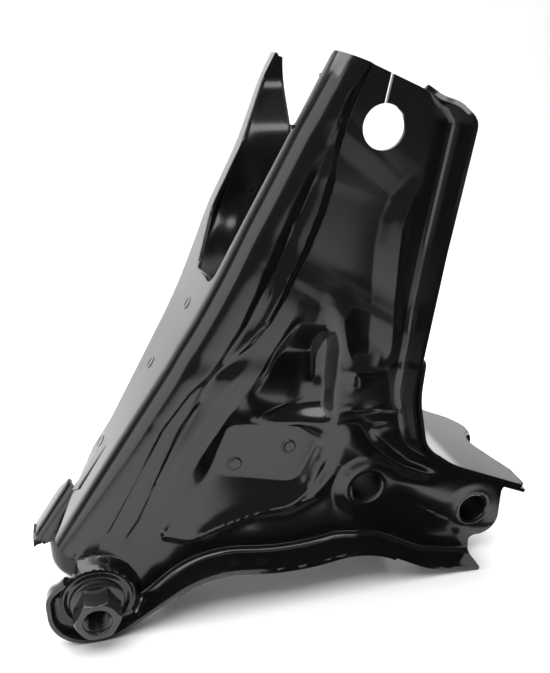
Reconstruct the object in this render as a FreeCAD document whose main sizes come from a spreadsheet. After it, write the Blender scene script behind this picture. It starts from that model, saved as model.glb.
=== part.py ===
import FreeCAD, Part
import math
import os

import Sketcher

# Control arm: two pressed shells closed into a tapering box by a bottom plate and an end plate.
# Millimetres. +X runs along the arm from the nut pivot to the outboard ear, +Y from the near
# shell to the far shell, +Z up. The origin is on the nut's axis, in the face that it seats on.

DRIVING = [
    ("sheet_thickness", 2.4),
    ("near_face", 9.0),
    ("flange_depth", 16.0),
    ("spine_radius", 14.0),
    ("web_depth", 50.0),
    ("leg_web_depth", 19.0),
    ("notch_height", 181.0),
    ("pad_recess", 7.0),
    ("rib_recess", 3.0),
    ("far_gap", 40.0),
    ("far_lap", 26.0),
    ("far_reach", 175.0),
    ("end_plate_width", 88.0),
    ("bottom_plate_set_back", 1.5),
    ("bottom_plate_width", 72.0),
    ("brace_x", 84.0),
    ("brace_width", 44.0),
    ("far_tilt", 3.2),
    ("arm_height", 302.5),
    ("floor_drop", 24.5),
    ("top_hole_radius", 12.0),
    ("top_hole_x", 172.0),
    ("top_hole_z", 265.0),
    ("slit_width", 1.4),
    ("sleeve_bore_radius", 10.0),
    ("sleeve_wall", 3.0),
    ("sleeve_stand_out", 4.0),
    ("inboard_x", 172.0),
    ("inboard_z", 44.5),
    ("outboard_x", 250.0),
    ("outboard_z", 14.0),
    ("ear_radius", 20.0),
    ("thread_radius", 7.0),
    ("nut_across_flats", 24.0),
    ("nut_height", 18.0),
    ("nut_flange_radius", 16.2),
    ("nut_flange_thickness", 3.2),
    ("seat_radius", 24.0),
    ("nut_lead_in", 1.4),
    ("pivot_clearance_radius", 8.6),
    ("far_slot_width", 28.0),
    ("far_slot_bottom", 196.0),
    ("far_slot_corner", 13.5),
    ("bead_leg", 3.4),
    ("bead_crown", 0.6),
    ("bead_height", 3.0),
    ("nut_chamfer_depth", 1.6),
    ("nut_chamfer_reach", 2.2),
    ("slit_offset", 1.0),
    ("slit_lean", 2.0),
    ("nugget_radius", 4.0),
    ("nugget_rise", 0.3),
]

doc = FreeCAD.newDocument("control_arm")
sheet = doc.addObject("Spreadsheet::Sheet", "dimensions")
for row, (alias, value) in enumerate(DRIVING, start=1):
    sheet.set("A%d" % row, alias)
    sheet.set("B%d" % row, str(value))
    sheet.setAlias("B%d" % row, alias)
doc.recompute()


def size(alias):
    return float(getattr(sheet, alias))


THICK = size("sheet_thickness")
NEAR = size("near_face")
FLANGE = size("flange_depth")
TOP = size("arm_height")
FLOOR = -size("floor_drop")
TILT = math.radians(size("far_tilt"))

# Places in the X-Z plane that the shells share.
SPINE_FOOT = (-21.0, 32.0)
SPINE_BEND = (69.0, 164.0)
SPINE_TOP = (147.0, TOP)
TOP_EDGE = [(162.0, 297.0), (208.0, 278.0), (215.0, 268.0)]
RIGHT_EDGE = [(204.0, 200.0), (192.0, 112.0), (200.0, 76.0), (222.0, 60.0)]
SHELF_TIP = (277.0, 35.5)
EAR_TOP = (266.0, 40.4)
BOTTOM_EDGE = [(250.0, FLOOR), (213.0, -16.5), (169.0, 9.0), (123.0, 1.5), (66.0, 11.0), (9.0, FLOOR)]
BOTTOM_RADII = [0.0, 60.0, 60.0, 150.0, 60.0, 30.0]
LIP_CORNER = (-28.0, FLOOR)
LIP_RADIUS = 24.0
FOOT_TIP = (-38.0, 15.0)
LIP_END = (-27.0, 18.0)

# Bends of the spine line, top edge and right edge, in the order that the wall's outline runs.
SPINE_BEND_RADIUS = 480.0
TOP_RADII = [0.0, 40.0, 6.0, 6.0]
RIGHT_BEND_RADII = [200.0, 60.0, 22.0, 60.0]
EAR_BULGE = 14.0
EAR_CORNER_RADII = [8.0, 16.0, 4.0]
EAR_DROP = 4.0

# Limits outside the arm, for cuts that run off its edges.
PAST_TOP = 340.0
PAST_RIGHT = 400.0
PAST_BELOW = -90.0
SPINE_RUN_OUT = [(-60.0, -88.0), (15.0, 28.0)]

# The far wall in the Y-Z plane: distance past the gap, and height.
FAR_LINE = [(0.0, -60.0), (0.0, 60.0), (46.0, 152.0), (79.0, 203.0), (83.0, 246.0), (114.0, 284.0),
            (114.0, 320.0)]
FAR_RADII = [0.0, 30.0, 60.0, 24.0, 24.0, 12.0, 0.0]

# Cuts across the spine web, in the Y-Z plane: distance past the near wall's face, and height.
NOTCH_CORNER_RADIUS = 9.0
NOTCH_FAR_SIDE = (80.0, -6.0)
NEAR_FOOT = [(4.0, 0.0), (4.0, 34.0), (34.0, 50.0), (60.0, 84.0), (60.0, 0.0)]
NEAR_FOOT_RADII = [0.0, 6.0, 20.0, 0.0, 0.0]

# The far web stands this far short of the far wall's line; its edge is given from there.
FAR_LIP = 8.0
FAR_NOTCH = [(76.0, 206.0), (82.0, 246.0), (113.0, 286.0), (113.0, 330.0)]
FAR_NOTCH_RADII = [0.0, 12.0, 20.0, 20.0, 10.0, 0.0, 0.0]
FAR_NOTCH_START = (70.0, -4.0)
FAR_FOOT_HEIGHTS = (66.0, 82.0)
FAR_FOOT_RADIUS = 8.0
FAR_FOOT_FLANGE_TOP = (-4.0, 58.0)

# Ends of the closing plates, and the bite out of the end plate's outboard edge.
END_PLATE_TOP = (195.4, 137.0)
BOTTOM_PLATE_OUTBOARD = (190.0, -3.17)
BOTTOM_PLATE_INBOARD = (46.0, -1.46)
SCALLOP_SIDES = (4.0, 56.0)
SCALLOP_CORNER_X = 278.0
SCALLOP_DEEPEST = (258.0, 6.0)
SCALLOP_FAR_X = 274.0
SCALLOP_RADII = [0.0, 4.0, 16.0, 4.0, 0.0]
PAST_SHELF = 300.0

# Folded brace: its two heights at each end, and how far back it steps.
BRACE_FRONT_HEIGHTS = (92.0, 62.0)
BRACE_BACK_HEIGHTS = (54.0, 30.0)
BRACE_STEP = 28.0
BRACE_BEND_RADIUS = 6.0

# Heights of the spot welds on the spine web, and places of the others.
WEB_WELD_HEIGHTS = (78.0, 128.0, 164.0)
WEB_WELD_BACK = 42.0
PAD_WELDS = ((88.0, 70.0), (122.0, 77.0))
END_WELDS = ((244.0, 1.0), (268.0, 3.0), (244.0, 66.0), (264.0, 68.0))
BOTTOM_WELD_PLACES = (82.0, 100.0)


# ---------------------------------------------------------------- plane geometry

def unit(start, end):
    length = math.hypot(end[0] - start[0], end[1] - start[1])
    return ((end[0] - start[0]) / length, (end[1] - start[1]) / length)


def shifted(points, distance):
    """The open polyline moved sideways to its left by a distance, with mitred corners."""
    moved = []
    for index, point in enumerate(points):
        sides = []
        if index > 0:
            sides.append(unit(points[index - 1], point))
        if index < len(points) - 1:
            sides.append(unit(point, points[index + 1]))
        normals = [(-side[1], side[0]) for side in sides]
        nx = sum(normal[0] for normal in normals)
        nz = sum(normal[1] for normal in normals)
        scale = distance * len(normals) / (nx * nx + nz * nz)
        moved.append((point[0] + nx * scale, point[1] + nz * scale))
    return moved


def turn_of(points, index):
    before = unit(points[index - 1], points[index])
    after = unit(points[index], points[index + 1])
    cross = before[0] * after[1] - before[1] * after[0]
    dot = before[0] * after[0] + before[1] * after[1]
    return math.atan2(cross, dot)


def strip(points, radii, thickness):
    """Outline of a strip that follows a rounded polyline and lies to its left."""
    inner = shifted(points, thickness)
    inner_radii = []
    for index, radius in enumerate(radii):
        if radius == 0.0:
            inner_radii.append(0.0)
            continue
        side = 1.0 if turn_of(points, index) > 0 else -1.0
        inner_radii.append(max(radius - side * thickness, 0.2))
    return points + inner[::-1], list(radii) + inner_radii[::-1]


def vector(point):
    return FreeCAD.Vector(point[0], point[1], 0.0)


def draw(sketch, points, radii):
    """Draw a closed outline with its corners rounded to the given radii."""
    count = len(points)
    starts = []
    ends = []
    arcs = []
    for index in range(count):
        corner = points[index]
        before = unit(corner, points[index - 1])
        after = unit(corner, points[(index + 1) % count])
        radius = radii[index]
        if radius == 0.0:
            starts.append(corner)
            ends.append(corner)
            arcs.append(None)
            continue
        half = math.acos(max(-1.0, min(1.0, before[0] * after[0] + before[1] * after[1]))) / 2.0
        reach = radius / math.tan(half)
        middle = (before[0] + after[0], before[1] + after[1])
        length = math.hypot(*middle)
        bow = radius / math.sin(half) - radius
        crown = (corner[0] + middle[0] / length * bow, corner[1] + middle[1] / length * bow)
        first = (corner[0] + before[0] * reach, corner[1] + before[1] * reach)
        last = (corner[0] + after[0] * reach, corner[1] + after[1] * reach)
        starts.append(first)
        ends.append(last)
        arcs.append(Part.Arc(vector(first), vector(crown), vector(last)))
    for index in range(count):
        if arcs[index]:
            sketch.addGeometry(arcs[index], False)
        following = (index + 1) % count
        if math.dist(ends[index], starts[following]) > 1e-6:
            sketch.addGeometry(Part.LineSegment(vector(ends[index]), vector(starts[following])), False)


# ---------------------------------------------------------------- document helpers

def new_body(name):
    body = doc.addObject("PartDesign::Body", name)
    body.Label = name
    return body


def new_sketch(body, name, role="XZ_Plane", offset=None, turn=0.0):
    sketch = body.newObject("Sketcher::SketchObject", name)
    plane = [item for item in body.Origin.OriginFeatures if item.Role == role][0]
    sketch.AttachmentSupport = [(plane, "")]
    sketch.MapMode = "FlatFace"
    rotation = FreeCAD.Rotation(FreeCAD.Vector(0, 1, 0), turn)
    sketch.AttachmentOffset = FreeCAD.Placement(FreeCAD.Vector(0, 0, 0), rotation)
    if offset:
        sketch.setExpression("AttachmentOffset.Base.z", offset)
    return sketch


def outline(body, name, points, radii, **place):
    sketch = new_sketch(body, name, **place)
    draw(sketch, points, radii)
    return sketch


def circle_sketch(body, name, centre, radius, **place):
    """A circle whose centre and radius are bound to named cells."""
    sketch = new_sketch(body, name, **place)
    middle = FreeCAD.Vector(size(centre[0]) if centre else 0.0, size(centre[1]) if centre else 0.0, 0)
    sketch.addGeometry(Part.Circle(middle, FreeCAD.Vector(0, 0, 1), 1.0), False)
    sketch.addConstraint(Sketcher.Constraint("Radius", 0, 1.0))
    sketch.renameConstraint(0, "radius")
    sketch.setExpression("Constraints.radius", radius)
    if centre:
        for index, (direction, alias) in enumerate(zip(("DistanceX", "DistanceY"), centre), start=1):
            sketch.addConstraint(Sketcher.Constraint(direction, -1, 1, 0, 3, size(alias)))
            sketch.renameConstraint(index, direction.lower())
            sketch.setExpression("Constraints." + direction.lower(), "dimensions." + alias)
    else:
        sketch.addConstraint(Sketcher.Constraint("Coincident", 0, 3, -1, 1))
    return sketch


def add_pad(body, name, sketch, length, backward=False):
    pad = body.newObject("PartDesign::Pad", name)
    pad.Profile = sketch
    pad.setExpression("Length", length)
    pad.Reversed = backward
    return pad


def cut_pocket(body, name, sketch, length=None, backward=False):
    """A pocket of a stated depth, or through everything both ways."""
    pocket = body.newObject("PartDesign::Pocket", name)
    pocket.Profile = sketch
    if length is None:
        pocket.Type = "ThroughAll"
        pocket.Midplane = True
    else:
        pocket.setExpression("Length", length)
        pocket.Reversed = backward
    return pocket


def round_edges(body, name, radius, wanted):
    """Fillet the edges of the body's last feature that the test picks."""
    doc.recompute()
    base = body.Tip
    names = []
    for index, edge in enumerate(base.Shape.Edges, start=1):
        if wanted(edge):
            names.append("Edge%d" % index)
    fillet = body.newObject("PartDesign::Fillet", name)
    fillet.Base = (base, names)
    fillet.setExpression("Radius", radius)
    return fillet


# ---------------------------------------------------------------- shared outlines

def spine_arc_points(inset):
    """The spine as the wall's left side, moved inwards by an inset, from foot to top."""
    return shifted([SPINE_FOOT, SPINE_BEND, SPINE_TOP], -inset)


def inside_spine(inset):
    """Closed outline of all that lies to the right of the spine, moved inwards by an inset."""
    foot, bend, top = spine_arc_points(inset)
    below, above = SPINE_RUN_OUT
    points = [(foot[0] + below[0], foot[1] + below[1]), bend, (top[0] + above[0], top[1] + above[1]),
              (PAST_RIGHT, PAST_TOP), (PAST_RIGHT, PAST_BELOW)]
    return points, [0.0, SPINE_BEND_RADIUS - inset, 0.0, 0.0, 0.0]


def wall_outline(inset, foot):
    """The side wall: spine, top edge, right edge, outboard ear, bottom edge and nut lip."""
    spine = spine_arc_points(inset)
    ear_x = size("outboard_x")
    ear_z = size("outboard_z")
    ear = size("ear_radius")
    points = [foot] + spine[1:] + TOP_EDGE + RIGHT_EDGE + [EAR_TOP]
    radii = [0.0, SPINE_BEND_RADIUS] + TOP_RADII + RIGHT_BEND_RADII + [0.0]
    points += [(ear_x + ear, ear_z + EAR_BULGE), (ear_x + ear, ear_z - ear), (ear_x, ear_z - ear - EAR_DROP)]
    radii += EAR_CORNER_RADII
    points += BOTTOM_EDGE + [LIP_CORNER]
    radii += BOTTOM_RADII + [LIP_RADIUS]
    return points, radii


RIGHT_PATH = [TOP_EDGE[-1]] + RIGHT_EDGE + [SHELF_TIP]
RIGHT_RADII = [0.0] + RIGHT_BEND_RADII + [0.0]
BOTTOM_PATH = BOTTOM_EDGE + [LIP_CORNER, LIP_END]
BOTTOM_PATH_RADII = BOTTOM_RADII + [LIP_RADIUS, 0.0]


def far_profile(shift):
    """The far wall's line in the Y-Z plane, moved outwards by a shift, from below to above."""
    gap = NEAR + size("far_gap")
    return shifted([(gap + y, z) for y, z in FAR_LINE], -shift)


def beyond_far(shift, side):
    """Closed outline of all that lies past the far wall's line, to one side of it."""
    line = far_profile(shift)
    reach = side * PAST_RIGHT
    return line + [(reach, line[-1][1]), (reach, line[0][1])], FAR_RADII + [0.0, 0.0]


def far_y(x, z):
    """Y of the far wall's outer face at a place on it."""
    line = far_profile(0.0)
    for (y0, z0), (y1, z1) in zip(line, line[1:]):
        if z0 <= z <= z1:
            return y0 + (y1 - y0) * (z - z0) / (z1 - z0) + math.tan(TILT) * x
    return line[-1][0]


# The flat that the inner brace is welded to, and the long recessed ribs of the near wall.
PAD_POINTS = [(74.0, 66.0), (126.0, 51.0), (142.0, 80.0), (128.0, 90.0), (86.0, 99.0)]
PAD_RADII = [6.0, 6.0, 6.0, 6.0, 6.0]
RIBS = [
    ("long_rib", [(40.0, 70.0), (52.0, 70.0), (142.0, 236.0), (151.0, 274.0), (141.0, 274.0)],
     [4.0, 4.0, 30.0, 4.0, 4.0]),
    ("edge_rib", [(166.0, 130.0), (184.0, 130.0), (190.0, 240.0), (180.0, 226.0)],
     [5.0, 5.0, 4.0, 10.0]),
]


# ---------------------------------------------------------------- near shell

def on_spine(depth):
    """A test for the long edges that run up the spine at one depth."""
    slope = 0.76
    allowance = 6.0
    shortest = 20.0
    close = 0.01

    def wanted(edge):
        box = edge.BoundBox
        flat = abs(box.YMin - depth) < close and abs(box.YMax - depth) < close
        middle = edge.valueAt((edge.FirstParameter + edge.LastParameter) / 2.0)
        left = middle.x < SPINE_FOOT[0] + (middle.z - SPINE_FOOT[1]) * slope + allowance
        return flat and left and middle.z > SPINE_FOOT[1] and edge.Length > shortest
    return wanted


def stamp(body, name, points, radii, depth):
    """Press a flat-bottomed dish into the wall, with sides one sheet thick."""
    ring = [radius + THICK for radius in radii]
    grown = shifted([points[-1]] + points + [points[0]], -THICK)[1:-1]
    back = outline(body, name + "_back_outline", grown, ring, offset="-dimensions.near_face")
    add_pad(body, name + "_back", back, "dimensions.sheet_thickness + " + depth, True)
    front = outline(body, name + "_outline", points, radii, offset="-dimensions.near_face")
    cut_pocket(body, name, front, depth)


def holes(body, near):
    """Pivot, sleeve and top holes through a shell's wall."""
    sleeve = "dimensions.sleeve_bore_radius"
    if not near:
        sleeve += " + dimensions.sleeve_wall"
    cuts = [("pivot_hole", None, "dimensions.pivot_clearance_radius"),
            ("inboard_hole", ("inboard_x", "inboard_z"), sleeve),
            ("outboard_hole", ("outboard_x", "outboard_z"), sleeve)]
    if near:
        cuts.append(("top_hole", ("top_hole_x", "top_hole_z"), "dimensions.top_hole_radius"))
    for name, centre, radius in cuts:
        circle = circle_sketch(body, name + "_outline", centre, radius)
        cut_pocket(body, name, circle)


def make_near_shell():
    body = new_body("near_shell")
    points, radii = wall_outline(0.0, SPINE_FOOT)
    block = outline(body, "wall_outline", points, radii, offset="-dimensions.near_face")
    add_pad(body, "block", block, "dimensions.web_depth", True)
    points, radii = inside_spine(THICK)
    hollow = outline(body, "hollow_outline", points, radii,
                     offset="-dimensions.near_face - dimensions.web_depth")
    cut_pocket(body, "hollow", hollow, "dimensions.web_depth - dimensions.sheet_thickness", True)
    round_edges(body, "spine_bend_inside", "dimensions.spine_radius - dimensions.sheet_thickness",
                on_spine(NEAR + THICK))
    round_edges(body, "spine_bend", "dimensions.spine_radius", on_spine(NEAR))
    notch_z = size("notch_height")
    leg = NEAR + size("leg_web_depth")
    far_side = NEAR + NOTCH_FAR_SIDE[0]
    opening = [(leg, notch_z), (far_side, notch_z + NOTCH_FAR_SIDE[1]), (far_side, PAST_TOP), (leg, PAST_TOP)]
    notch = outline(body, "notch_outline", opening, [NOTCH_CORNER_RADIUS, 0.0, 0.0, 0.0], role="YZ_Plane")
    cut_pocket(body, "notch", notch)
    foot = outline(body, "foot_outline", [(NEAR + y, z) for y, z in NEAR_FOOT], NEAR_FOOT_RADII,
                   role="YZ_Plane")
    cut_pocket(body, "foot", foot)
    for name, path, bends in (("right", RIGHT_PATH, RIGHT_RADII), ("bottom", BOTTOM_PATH, BOTTOM_PATH_RADII)):
        points, radii = strip(path, bends, -THICK)
        flange = outline(body, name + "_flange_outline", points, radii,
                         offset="-dimensions.near_face - dimensions.sheet_thickness")
        add_pad(body, name + "_flange", flange, "dimensions.flange_depth + dimensions.sheet_thickness")
    seat = circle_sketch(body, "seat_outline", None, "dimensions.seat_radius",
                         offset="-dimensions.near_face - dimensions.sheet_thickness")
    add_pad(body, "seat", seat, "dimensions.near_face + dimensions.sheet_thickness")
    under = circle_sketch(body, "seat_hollow_outline", None,
                          "dimensions.seat_radius - dimensions.sheet_thickness",
                          offset="-dimensions.near_face - dimensions.sheet_thickness")
    cut_pocket(body, "seat_hollow", under, "dimensions.near_face", True)
    stamp(body, "brace_pad", PAD_POINTS, PAD_RADII, "dimensions.pad_recess")
    for name, points, radii in RIBS:
        stamp(body, name, points, radii, "dimensions.rib_recess")
    holes(body, near=True)
    middle = size("top_hole_x") + size("slit_offset")
    lean = size("slit_lean")
    half = size("slit_width") / 2.0
    slit = outline(body, "slit_outline",
                   [(middle - half, size("top_hole_z")), (middle + half, size("top_hole_z")),
                    (middle + lean + half, TOP), (middle + lean - half, TOP)],
                   [0.0] * 4, offset="-dimensions.near_face")
    cut_pocket(body, "slit", slit, "dimensions.sheet_thickness")
    return body


# ---------------------------------------------------------------- far shell

def far_block(name, inset, shift, foot):
    """The space inside one face of the far shell, bounded by the tilted far wall."""
    body = new_body(name)
    if foot:
        points, radii = wall_outline(inset, FOOT_TIP)
    else:
        points, radii = inside_spine(inset)
    block = outline(body, name + "_outline", points, radii,
                    offset="-dimensions.near_face - dimensions.far_lap")
    add_pad(body, name + "_block", block, "dimensions.far_reach", True)
    line, bends = beyond_far(shift, 1.0)
    beyond = outline(body, name + "_beyond", line, bends, role="YZ_Plane", turn=size("far_tilt"))
    cut_pocket(body, name + "_face", beyond)
    return body


def make_far_shell():
    outer = far_block("far_outer", THICK, 0.0, True)
    notch_z = size("notch_height")
    lip = NEAR + size("far_gap") - FAR_LIP
    edge = [(0.0, notch_z - 1.0), (NEAR + FAR_NOTCH_START[0], notch_z + FAR_NOTCH_START[1])]
    edge += [(lip + y, z) for y, z in FAR_NOTCH]
    notch = outline(outer, "far_notch_outline", edge + [(0.0, edge[-1][1])], FAR_NOTCH_RADII,
                    role="YZ_Plane")
    cut_pocket(outer, "far_notch", notch)
    opening = [(0.0, PAST_BELOW), (0.0, FAR_FOOT_HEIGHTS[0]), (lip, FAR_FOOT_HEIGHTS[1]), (lip, PAST_BELOW)]
    foot = outline(outer, "far_foot_outline", opening, [0.0, 0.0, FAR_FOOT_RADIUS, 0.0], role="YZ_Plane")
    cut_pocket(outer, "far_foot", foot)
    holes(outer, near=False)
    half = size("far_slot_width") / 2.0
    slot_x = size("top_hole_x")
    bottom = size("far_slot_bottom")
    corner = size("far_slot_corner")
    slot = outline(outer, "far_slot_outline",
                   [(slot_x - half, bottom), (slot_x + half, bottom), (slot_x + half, PAST_TOP),
                    (slot_x - half, PAST_TOP)], [corner, corner, 0.0, 0.0])
    cut_pocket(outer, "far_slot", slot)
    inner = far_block("far_inner", 2.0 * THICK, -THICK, False)
    hollow = doc.addObject("Part::Cut", "far_wall")
    hollow.Base = outer
    hollow.Tool = inner
    flanges = new_body("far_flanges")
    left_path = [FAR_FOOT_FLANGE_TOP, FOOT_TIP]
    for name, path, bends in (("right", RIGHT_PATH, RIGHT_RADII), ("bottom", BOTTOM_PATH, BOTTOM_PATH_RADII),
                              ("left", left_path, [0.0, 0.0])):
        points, radii = strip(path, bends, THICK if name == "left" else -THICK)
        flange = outline(flanges, "far_" + name + "_outline", points, radii,
                         offset="-dimensions.near_face - dimensions.far_lap")
        add_pad(flanges, "far_" + name + "_strip", flange, "dimensions.far_reach", True)
    for name, shift, side in (("edge", FLANGE, 1.0), ("root", -THICK, -1.0)):
        points, radii = beyond_far(shift, side)
        beyond = outline(flanges, "far_flange_%s_line" % name, points, radii, role="YZ_Plane",
                         turn=size("far_tilt"))
        cut_pocket(flanges, "far_flange_" + name, beyond)
    shell = doc.addObject("Part::Fuse", "far_shell")
    shell.Base = hollow
    shell.Tool = flanges
    shell.Label = "far_shell"
    return shell


# ---------------------------------------------------------------- closing plates and brace

def make_end_plate():
    body = new_body("end_plate")
    points, radii = strip([END_PLATE_TOP] + RIGHT_EDGE[1:] + [SHELF_TIP], [0.0] + RIGHT_RADII[2:], THICK)
    sheet_line = outline(body, "end_plate_outline", points, radii,
                         offset="dimensions.flange_depth - dimensions.near_face")
    add_pad(body, "end_plate_sheet", sheet_line, "dimensions.end_plate_width", True)
    near_side = NEAR + SCALLOP_SIDES[0]
    far_side = NEAR + SCALLOP_SIDES[1]
    deepest = (SCALLOP_DEEPEST[0], (near_side + far_side) / 2.0 + SCALLOP_DEEPEST[1])
    scallop = outline(body, "scallop_outline",
                      [(PAST_SHELF, near_side), (SCALLOP_CORNER_X, near_side), deepest,
                       (SCALLOP_FAR_X, far_side), (PAST_SHELF, far_side)], SCALLOP_RADII, role="XY_Plane")
    cut_pocket(body, "scallop", scallop)
    return body


def make_bottom_plate():
    body = new_body("bottom_plate")
    path = [BOTTOM_PLATE_OUTBOARD] + BOTTOM_EDGE[2:5] + [BOTTOM_PLATE_INBOARD]
    points, radii = strip(path, [0.0] + BOTTOM_RADII[2:5] + [0.0], THICK)
    line = outline(body, "bottom_plate_outline", points, radii,
                   offset="dimensions.flange_depth - dimensions.near_face - dimensions.bottom_plate_set_back")
    add_pad(body, "bottom_plate_sheet", line, "dimensions.bottom_plate_width", True)
    return body


def make_inner_brace():
    """A folded bracket from the pad of the near wall back to the far wall."""
    body = new_body("inner_brace")
    front = NEAR + THICK + size("pad_recess") + THICK
    back = front + BRACE_STEP
    path = [(front, z) for z in BRACE_FRONT_HEIGHTS] + [(back, z) for z in BRACE_BACK_HEIGHTS]
    points, radii = strip(path, [0.0, BRACE_BEND_RADIUS, BRACE_BEND_RADIUS, 0.0], THICK)
    fold = outline(body, "brace_outline", points, radii, role="YZ_Plane", offset="dimensions.brace_x")
    add_pad(body, "brace_sheet", fold, "dimensions.brace_width")
    return body


# ---------------------------------------------------------------- nut and sleeves

def make_weld_nut():
    body = new_body("weld_nut")
    flange = circle_sketch(body, "nut_flange_outline", None, "dimensions.nut_flange_radius")
    add_pad(body, "nut_flange", flange, "dimensions.nut_flange_thickness")
    corner = size("nut_across_flats") / math.sqrt(3.0)
    angles = [math.radians(60.0 * step) for step in range(6)]
    hexagon = outline(body, "nut_hex_outline", [(corner * math.cos(a), corner * math.sin(a)) for a in angles],
                      [0.0] * 6)
    add_pad(body, "nut_hex", hexagon, "dimensions.nut_height")
    tip = -size("nut_height")
    clear = 0.5
    groove_line = outline(body, "nut_chamfer_outline",
                          [(tip - clear, corner - size("nut_chamfer_reach")), (tip - clear, corner + clear),
                           (tip + size("nut_chamfer_depth"), corner + clear)],
                          [0.0] * 3, role="YZ_Plane")
    chamfer = body.newObject("PartDesign::Groove", "nut_chamfer")
    chamfer.Profile = groove_line
    chamfer.ReferenceAxis = (groove_line, ["H_Axis"])
    chamfer.Angle = 360.0
    bore = circle_sketch(body, "nut_bore_outline", None, "dimensions.thread_radius")
    drilled = cut_pocket(body, "nut_bore", bore)
    doc.recompute()
    around = math.tau * size("thread_radius")
    close = 0.1
    mouth = [index for index, edge in enumerate(drilled.Shape.Edges, start=1)
             if abs(edge.CenterOfMass.y - tip) < close and abs(edge.Length - around) < close]
    lead_in = body.newObject("PartDesign::Chamfer", "nut_lead_in")
    lead_in.Base = (drilled, ["Edge%d" % index for index in mouth])
    lead_in.setExpression("Size", "dimensions.nut_lead_in")
    return body


def make_sleeve(name, x_alias, z_alias):
    """A spacer tube through the box, standing out of the far wall."""
    front = NEAR + THICK
    back = far_y(size(x_alias), size(z_alias)) + size("sleeve_stand_out")
    tube = []
    for part_name, radius in (("_outside", "dimensions.sleeve_bore_radius + dimensions.sleeve_wall"),
                              ("_bore", "dimensions.sleeve_bore_radius")):
        cylinder = doc.addObject("Part::Cylinder", name + part_name)
        cylinder.setExpression("Radius", radius)
        cylinder.Height = back - front
        cylinder.setExpression("Placement.Base.x", "dimensions." + x_alias)
        cylinder.setExpression("Placement.Base.z", "dimensions." + z_alias)
        cylinder.setExpression("Placement.Base.y", "dimensions.near_face + dimensions.sheet_thickness")
        cylinder.Placement = FreeCAD.Placement(FreeCAD.Vector(0, front, 0), FreeCAD.Rotation(0, 0, -90))
        tube.append(cylinder)
    sleeve = doc.addObject("Part::Cut", name)
    sleeve.Base, sleeve.Tool = tube
    sleeve.Label = name
    return sleeve


def gather(name, pieces):
    group = doc.addObject("Part::Compound", name)
    group.Links = pieces
    group.Label = name
    return group


def make_sleeve_welds():
    """A fillet weld round each sleeve where it leaves the far wall."""
    beads = []
    outer = size("sleeve_bore_radius") + size("sleeve_wall")
    for x_alias, z_alias in (("inboard_x", "inboard_z"), ("outboard_x", "outboard_z")):
        x = size(x_alias)
        z = size(z_alias)
        turn = FreeCAD.Rotation(FreeCAD.Vector(1, 0, 0), -90)
        place = FreeCAD.Placement(FreeCAD.Vector(x, far_y(x, z), z), turn)
        cone = doc.addObject("Part::Cone", "bead_" + x_alias)
        cone.Radius1 = outer + size("bead_leg")
        cone.Radius2 = outer + size("bead_crown")
        cone.setExpression("Height", "dimensions.bead_height")
        cone.Placement = place
        hole = doc.addObject("Part::Cylinder", "bead_hole_" + x_alias)
        hole.Radius = outer
        hole.setExpression("Height", "dimensions.bead_height")
        hole.Placement = place
        bead = doc.addObject("Part::Cut", "bead_ring_" + x_alias)
        bead.Base = cone
        bead.Tool = hole
        beads.append(bead)
    return gather("sleeve_welds", beads)


def make_nuggets(name, places):
    """Spot-weld buttons, each a thin disc standing on its sheet along the sheet's normal."""
    discs = []
    for index, (point, normal) in enumerate(places):
        disc = doc.addObject("Part::Cylinder", "%s_%d" % (name, index + 1))
        disc.setExpression("Radius", "dimensions.nugget_radius")
        disc.setExpression("Height", "dimensions.nugget_rise")
        turn = FreeCAD.Rotation(FreeCAD.Vector(0, 0, 1), FreeCAD.Vector(*normal))
        disc.Placement = FreeCAD.Placement(FreeCAD.Vector(*point), turn)
        discs.append(disc)
    return gather(name, discs)


def nugget_rows():
    """Each row of spot welds: its name and the place and normal of every button."""
    slope = unit(SPINE_FOOT, SPINE_BEND)
    web_normal = (-slope[1], 0.0, slope[0])
    web = []
    for z in WEB_WELD_HEIGHTS:
        x = SPINE_FOOT[0] + (z - SPINE_FOOT[1]) * slope[0] / slope[1]
        web.append(((x, NEAR + WEB_WELD_BACK, z), web_normal))
    pad_y = NEAR + size("pad_recess")
    pad = [((x, pad_y, z), (0.0, -1.0, 0.0)) for x, z in PAD_WELDS]
    shelf = unit(RIGHT_EDGE[-1], SHELF_TIP)
    shelf_normal = (-shelf[1], 0.0, shelf[0])
    end = []
    for x, y in END_WELDS:
        z = RIGHT_EDGE[-1][1] + (x - RIGHT_EDGE[-1][0]) * shelf[1] / shelf[0]
        end.append(((x + shelf_normal[0] * THICK, y, z + shelf_normal[2] * THICK), shelf_normal))
    ramp = unit(BOTTOM_EDGE[4], BOTTOM_EDGE[3])
    ramp_normal = (-ramp[1], 0.0, ramp[0])
    bottom = []
    for x in BOTTOM_WELD_PLACES:
        z = BOTTOM_EDGE[4][1] + (x - BOTTOM_EDGE[4][0]) * ramp[1] / ramp[0]
        bottom.append(((x + ramp_normal[0] * THICK, 0.0, z + ramp_normal[2] * THICK), ramp_normal))
    return [("web_spot_welds", web), ("pad_spot_welds", pad), ("end_plate_spot_welds", end),
            ("bottom_flange_spot_welds", bottom)]


# ---------------------------------------------------------------- assembly

subparts = [make_near_shell(), make_far_shell(), make_end_plate(), make_bottom_plate(), make_inner_brace()]
subparts.append(make_weld_nut())
subparts.append(make_sleeve("inboard_sleeve", "inboard_x", "inboard_z"))
subparts.append(make_sleeve("outboard_sleeve", "outboard_x", "outboard_z"))
subparts.append(make_sleeve_welds())
for row_name, row_places in nugget_rows():
    subparts.append(make_nuggets(row_name, row_places))
doc.recompute()

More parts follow.
